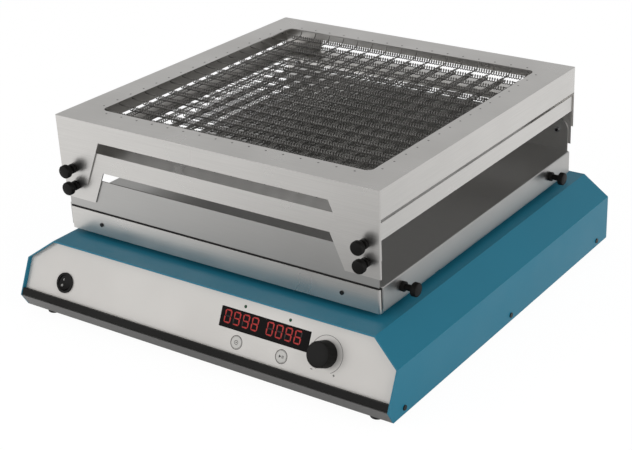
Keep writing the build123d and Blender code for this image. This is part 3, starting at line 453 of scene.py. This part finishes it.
# Display: a smoked plastic window over two rows of four red seven-segment digits.
# The digits glow through it, and the unlit segments hardly show.
window = finish("window", rgb(10, 8, 8), 0.15, scale=300, depth=0.001, shade=0.1, specular=0.04)
rounded("display_window", window, 0.4)
digit_segments = {
    "top": (0, 1), "upper_left": (-1, 0.5), "upper_right": (1, 0.5), "middle": (0, 0),
    "lower_left": (-1, -0.5), "lower_right": (1, -0.5), "bottom": (0, -1),
}
unlit = {
    "0": ["middle"], "9": ["lower_left"], "8": [], "6": ["upper_right"],
}
digit_w, digit_h, stroke = 7.4, 13.4, 1.9
lit_mesh, dark_mesh = bmesh.new(), bmesh.new()
window_spot = on_surface("display_window", 85, 46.4)
for value, across in zip("09980096", (37.1, 49.1, 61.1, 73.1, 93.1, 105.1, 117.1, 129.1)):
    for segment, (side, rise) in digit_segments.items():
        bm = dark_mesh if segment in unlit[value] else lit_mesh
        upright = side != 0
        reach = (digit_h / 2 if upright else digit_w) - stroke - 0.5
        made = bmesh.ops.create_circle(bm, cap_ends=True, segments=6, radius=stroke / 2)["verts"]
        for v in made:
            v.co.x += math.copysign(reach / 2, v.co.x)
        if upright:
            bmesh.ops.rotate(bm, verts=made, cent=(0, 0, 0), matrix=Matrix.Rotation(math.pi / 2, 3, "Z"))
        x = side * digit_w / 2
        y = rise * digit_h / 2
        bmesh.ops.translate(bm, verts=made, vec=(across - 85 + x + y * 0.06, y, 0.03))
digit_red = finish("digit_red", rgb(110, 22, 20), 0.4, scale=900, depth=0.001)
shader = digit_red.node_tree.nodes["Principled BSDF"]
shader.inputs["Emission Color"].default_value = rgb(165, 36, 32)
shader.inputs["Emission Strength"].default_value = 0.6
digit_dark = finish("digit_dark", rgb(34, 16, 16), 0.4, scale=900, depth=0.001)
for name, bm, made_of in (
    ("display_digits_lit", lit_mesh, digit_red), ("display_digits_unlit", dark_mesh, digit_dark),
):
    bmesh.ops.recalc_face_normals(bm, faces=bm.faces)
    bm.transform(window_spot)
    put(name, bm, "base", made_of, in_record=False)

# Status lamps: two small green lenses that look out above the display.
led_green = finish("led_green", rgb(14, 66, 36), 0.3, scale=900, depth=0.002)
rounded("status_leds", led_green, 0.25, name="status_lenses")

# Power switch: a round black bezel and barrel with a rocker in its well, I above and O below.
# The upper half is pressed in, so the shaker is on.
rounded("switch_housing", black_plastic, 0.45, name="switch_bezel")
rounded("power_rocker", black_plastic, 0.5, steps=3, name="switch_rocker")
ink_white = finish("switch_white", rgb(215, 214, 210), 0.5, scale=2500, depth=0.002)
for name, rise in (("switch_mark_on", 3.5), ("switch_mark_off", -3.4)):
    bm = bmesh.new()
    if rise > 0:
        bar(bm, 0.55, 2.6, 0.03)
    else:
        band(bm, 1.15, 0.5, 0.03, steps=32)
    bmesh.ops.recalc_face_normals(bm, faces=bm.faces)
    bm.transform(on_surface("power_rocker", -195.9 - 2.8, 27.9 + rise))
    put(name, bm, "power_rocker", ink_white, in_record=False)


# Speed knob: a turned black knob with fine ribs round its side and a flat front, on an encoder.
def lathe(bm, profile, steps):
    """Turns a profile of (radius, height) points about Z into a closed solid."""
    points = [bm.verts.new((radius, 0, high)) for radius, high in profile]
    edges = [bm.edges.new(pair) for pair in zip(points, points[1:])]
    bmesh.ops.spin(
        bm, geom=points + edges, cent=(0, 0, 0), axis=(0, 0, 1), angle=math.tau, steps=steps, use_merge=True,
    )
    bmesh.ops.remove_doubles(bm, verts=bm.verts, dist=0.0005)
    bmesh.ops.recalc_face_normals(bm, faces=bm.faces)


def ribs(bm, count, low, high, least, depth):
    """Presses every other line of a lathed side inwards, which leaves upright ribs."""
    for v in bm.verts:
        radius = math.hypot(v.co.x, v.co.y)
        if low < v.co.z < high and radius > least:
            place_round = round(math.atan2(v.co.y, v.co.x) / math.tau * 2 * count)
            if place_round % 2:
                v.co.x *= 1 - depth / radius
                v.co.y *= 1 - depth / radius


bm = bmesh.new()
knob_side = [(0, 0.3), (14.2, 0.3), (14.6, 0.7), (14.55, 2.0), (13.9, 15.2)]
knob_front = [(13.5, 15.8), (12.9, 16.0), (6.0, 15.9), (0, 15.85)]
lathe(bm, knob_side + knob_front, 96)
ribs(bm, 48, 0.6, 15.4, 13.7, 0.35)
for face in bm.faces:
    face.smooth = True
bm.transform(panel_face @ Matrix.Translation((166.5, 38.3, 0)))
knob = put("speed_knob_cap", bm, "speed_knob", black_plastic, "speed_knob")
knob.data.set_sharp_from_angle(angle=math.radians(35))

# Feet: four round rubber feet, screwed up into the pan from below.
rubber = finish("rubber", rgb(32, 31, 30), 0.75, scale=1200, depth=0.03, shade=0.15)
rounded("rubber_feet", rubber, 0.6, steps=3)

# Screws: black button-head screws with a hexagon socket low on the cover's sides and up through
# the feet, and small bright ones in the table's front and rear skirts.
black_steel = finish("black_steel", rgb(38, 38, 38), 0.38, metallic=0.7, scale=1500, depth=0.008, shade=0.1)
machined_steel = finish(
    "machined_steel", rgb(170, 170, 172), 0.25, metallic=1.0, brushed=1800.0, depth=0.003, shade=0.06
)


def button_head(bm, spot, outward, radius, rise):
    """A domed screw head with a hexagon socket, on its seat."""
    head = bmesh.new()
    dome = ((1, 0), (1, 0.35), (0.86, 0.78), (0.6, 1), (0.42, 1))
    lathe(head, [(radius * r, rise * h) for r, h in dome], 24)
    rim_edges = [e for e in head.edges if e.is_boundary and max(v.co.z for v in e.verts) > rise * 0.9]
    top = bmesh.ops.holes_fill(head, edges=rim_edges, sides=0)["faces"]
    bmesh.ops.inset_region(head, faces=top, thickness=0.02, depth=0)
    socket = list({v for f in top for v in f.verts})
    bmesh.ops.translate(head, verts=socket, vec=(0, 0, -rise * 0.6))
    for face in head.faces:
        face.smooth = True
    turn = Vector(outward).to_track_quat("Z", "Y").to_matrix().to_4x4()
    head.transform(Matrix.Translation(Vector(spot) * mm) @ turn @ Matrix.Scale(mm, 4))
    passed = bpy.data.meshes.new("passed")
    head.to_mesh(passed)
    head.free()
    bm.from_mesh(passed)
    bpy.data.meshes.remove(passed)


table_x, table_y = -7.071, 22.071
bm = bmesh.new()
for side in (-1, 1):
    for y in (-226.5, 0, 226.5):
        button_head(bm, (side * 255.0, y, 15.5), (side, 0, 0), 3.0, 1.2)
put("cover_screw_heads", bm, "base", black_steel)
bm = bmesh.new()
for side in (-1, 1):
    for edge in (-1, 1):
        button_head(bm, (table_x + side * 167, table_y + edge * 216.0, 106.7), (0, edge, 0), 2.3, 0.9)
put("skirt_screw_heads", bm, "table", machined_steel)

# Table: a folded stainless plate that carries everything above, with a skirt all round.
# A black rubber mat lies on it under the tray.
stainless = finish(
    "stainless", rgb(205, 203, 200), 0.3, metallic=1.0, brushed=1300.0, depth=0.006, shade=0.12,
    worn=(rgb(225, 224, 222), 0.4),
)
rounded("table_plate", stainless, 0.5, bend=(121.0, 2.4))
rounded("grip_mat", rubber, 0.3)

# Tray and spring frames: bent stainless sheets, brushed, with rounded outside bends.
# The frames slip over the tray's ends and are clamped there with thumb screws.
# The tray gets a darker copy of the frames' stainless, keeping the stainless slot: painted shade for the tray
# lying under the frames and springs.
tray_steel_painted_shade = finish(
    "tray_steel_painted_shade", rgb(176, 175, 173), 0.36, metallic=1.0, brushed=1500.0, depth=0.004, shade=0.05
)
tray_steel_painted_shade["slot"] = "stainless"
for node, made_of, fold in (
    ("base_tray", tray_steel_painted_shade, 124.5), ("lower_frame", stainless, 196.3), ("upper_frame", stainless, 233.0),
):
    rounded(node, made_of, 0.4, bend=(fold, 1.6))

# Springs: two crossed layers of long coil springs in each frame, stretched from edge to edge.
# Each ends in a hook that rises through a small hole in the frame's top.
spring_steel = finish(
    "spring_steel", rgb(135, 133, 130), 0.4, metallic=0.9, scale=4000, depth=0.002, shade=0.15
)
coil_r, wire_r, coil_pitch, per_turn = 2.3, 0.7, 3.4, 10


def spring(bm, coil_half, hook_at, rise):
    """One spring along X: its coil, and at both ends a straight wire bent up by rise to its hole."""
    turns = int(2 * coil_half / coil_pitch)
    steps = turns * per_turn
    ring = bmesh.ops.create_circle(
        bm, segments=4, radius=wire_r,
        matrix=Matrix.Translation((-coil_half, 0, coil_r)) @ Matrix.Rotation(math.pi / 2, 4, "X"),
    )["verts"]
    edges = list({e for v in ring for e in v.link_edges})
    bmesh.ops.spin(
        bm, geom=ring + edges, cent=(0, 0, 0), axis=(1, 0, 0), angle=math.tau * turns, steps=steps,
        dvec=(2 * coil_half / steps, 0, 0),
    )
    wire_up = coil_r - wire_r
    bend = 0.85 * (rise - coil_r + wire_r)
    for end in (-1, 1):
        start = Matrix.Translation((end * (coil_half - 1), 0, wire_up))
        ring = bmesh.ops.create_circle(
            bm, segments=6, radius=wire_r, matrix=start @ Matrix.Rotation(end * math.pi / 2, 4, "Y"),
        )["verts"]
        edges = list({e for v in ring for e in v.link_edges})
        made = bmesh.ops.extrude_edge_only(bm, edges=edges)["geom"]
        moved = [g for g in made if isinstance(g, bmesh.types.BMVert)]
        bmesh.ops.translate(bm, verts=moved, vec=(end * (hook_at - bend - coil_half + 1), 0, 0))
        loop = [g for g in made if isinstance(g, bmesh.types.BMEdge) and all(v in moved for v in g.verts)]
        made = bmesh.ops.spin(
            bm, geom=moved + loop, cent=(end * (hook_at - bend), 0, wire_up + bend), axis=(0, -end, 0),
            angle=math.pi / 2, steps=5,
        )["geom_last"]
        loop = [g for g in made if isinstance(g, bmesh.types.BMEdge)]
        made = bmesh.ops.extrude_edge_only(bm, edges=loop)["geom"]
        moved = [g for g in made if isinstance(g, bmesh.types.BMVert)]
        bmesh.ops.translate(bm, verts=moved, vec=(0, 0, rise - coil_r + wire_r - bend))


for node, along_x, top_z, axis_z, reach in (
    ("upper_springs_x", True, 233.0, 225.8, 7.0), ("upper_springs_y", False, 233.0, 219.5, 7.0),
    ("lower_springs_x", True, 196.3, 189.1, 12.5), ("lower_springs_y", False, 196.3, 182.8, 12.5),
):
    edge = 183.0 if along_x else 180.5
    bm = bmesh.new()
    spring(bm, edge - 12.5, edge + reach, top_z + 0.25 - axis_z)
    bmesh.ops.holes_fill(bm, edges=[e for e in bm.edges if e.is_boundary], sides=6)
    bmesh.ops.recalc_face_normals(bm, faces=bm.faces)
    for face in bm.faces:
        face.smooth = True
    if not along_x:
        bm.transform(Matrix.Rotation(math.pi / 2, 4, "Z"))
    one = bm.verts[:] + bm.edges[:] + bm.faces[:]
    bmesh.ops.translate(bm, verts=bm.verts, vec=(table_x, table_y, axis_z))
    for i in range(1, 16):
        again = bmesh.ops.duplicate(bm, geom=one)["geom"]
        step = (0, 22.5 * i, 0) if along_x else (22.5 * i, 0, 0)
        bmesh.ops.translate(bm, verts=[g for g in again if isinstance(g, bmesh.types.BMVert)], vec=step)
    shift = -22.5 * 7.5
    bm.transform(Matrix.Scale(mm, 4) @ Matrix.Translation((0, shift, 0) if along_x else (shift, 0, 0)))
    put(node + "_coils", bm, "table", spring_steel, node)

# Hook holes: a row of small drilled holes along each side of a frame's opening, one for each hook.
# No hole is cut: each is a thin dark ring laid on the frame's top, painted shade where the hole looks dark.
hook_hole_shade = finish("hook_hole_shade", rgb(40, 39, 38), 0.6, scale=2000, depth=0.002)
for name, top_z, reach in (("upper_hook_hole_shade", 233.0, 7.0), ("lower_hook_hole_shade", 196.3, 12.5)):
    bm = bmesh.new()
    for i in range(16):
        along = (i - 7.5) * 22.5
        for side in (-1, 1):
            for x, y in ((side * (183.0 + reach), along), (along, side * (180.5 + reach))):
                band(bm, 0.8, 0.6, 0.03, (table_x + x, table_y + y), steps=10)
    bmesh.ops.translate(bm, verts=bm.verts, vec=(0, 0, top_z))
    bmesh.ops.recalc_face_normals(bm, faces=bm.faces)
    bm.transform(Matrix.Scale(mm, 4))
    put(name, bm, "table", hook_hole_shade, in_record=False)

# Thumb screws: black moulded heads with fine ribs on a collar and neck, over a steel stud.
# Eight clamp the two spring frames at the corners, and four hold the tray at the sides.
for level, neck_l in (("upper", 5.0), ("lower", 5.0), ("side", 9.5)):
    for fore, side_y in (("front", -1), ("rear", 1)):
        for hand, side_x in (("left", -1), ("right", 1)):
            node = f"{level}_thumb_screw_{fore}_{hand}"
            low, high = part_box(node)
            middle = (low + high) / 2
            out = 4.5 + neck_l
            tip = out + 6.4
            bm = bmesh.new()
            stud_and_collar = [(0, -4.0), (2.0, -4.0), (2.0, 0.3), (5.2, 0.3), (5.6, 0.7), (5.6, 4.1)]
            neck = [(5.2, 4.5), (3.5, 4.7), (3.5, out - 0.2)]
            knurled = [(7.2, out), (7.8, out + 0.5), (7.8, tip - 1.2), (7.1, tip - 0.3), (6.2, tip), (0, tip)]
            lathe(bm, stud_and_collar + neck + knurled, 60)
            ribs(bm, 30, out + 0.1, tip - 0.8, 7.5, 0.35)
            for face in bm.faces:
                face.smooth = True
            if level == "side":
                front_face = Vector((low.x if side_x < 0 else high.x, middle.y, middle.z))
                outward = Vector((side_x, 0, 0))
            else:
                front_face = Vector((middle.x, low.y if side_y < 0 else high.y, middle.z))
                outward = Vector((0, side_y, 0))
            seat = Matrix.Translation(front_face - outward * tip * mm)
            bm.transform(seat @ outward.to_track_quat("Z", "Y").to_matrix().to_4x4() @ Matrix.Scale(mm, 4))
            screw = put(node + "_head", bm, node, black_plastic, node)
            screw.data.set_sharp_from_angle(angle=math.radians(40))

# Inside the base and under the table: turned cranks and pulleys, cast bearing housings and hubs,
# the motor, its belt, the power supply and the control board keep their solids and get their finishes.
cast_metal = finish("cast_metal", rgb(84, 84, 86), 0.6, metallic=0.6, scale=700, depth=0.05, shade=0.15)
cast_aluminium = finish(
    "cast_aluminium", rgb(186, 186, 188), 0.36, metallic=1.0, scale=900, depth=0.02, shade=0.08
)
motor_case = finish("motor_case", rgb(44, 45, 48), 0.4, scale=700, depth=0.01)
electronics = finish("electronics", rgb(22, 84, 52), 0.4, scale=500, depth=0.01, shade=0.12)
supply_case = finish("supply_case", rgb(180, 180, 178), 0.4, metallic=0.9, brushed=1500.0, depth=0.004)
copies = {
    "power_inlet": black_plastic, "foot_screws": black_steel, "cover_screws": black_steel,
    "skirt_screws": black_steel,
    "bearing_housings": cast_aluminium, "shaft_bearings": machined_steel, "drive_motor": motor_case,
    "motor_bracket": machined_steel, "drive_belt": rubber, "power_supply": supply_case,
    "control_board": electronics,
    "display_board": electronics, "encoder_body": electronics, "encoder_shaft": machined_steel,
    "motor_shaft": machined_steel, "motor_pulley": cast_aluminium, "main_crankshaft": machined_steel,
    "main_pulley": cast_aluminium, "counterweight": cast_metal, "idler_crank_1": machined_steel,
    "idler_crank_2": machined_steel, "idler_crank_3": machined_steel, "table_hubs": cast_aluminium,
    "hub_bearings": machined_steel, "clamp_nuts": machined_steel,
}
for node, made_of in copies.items():
    data = frame["nodes"][node].data
    data.materials.clear()
    data.materials.append(made_of)
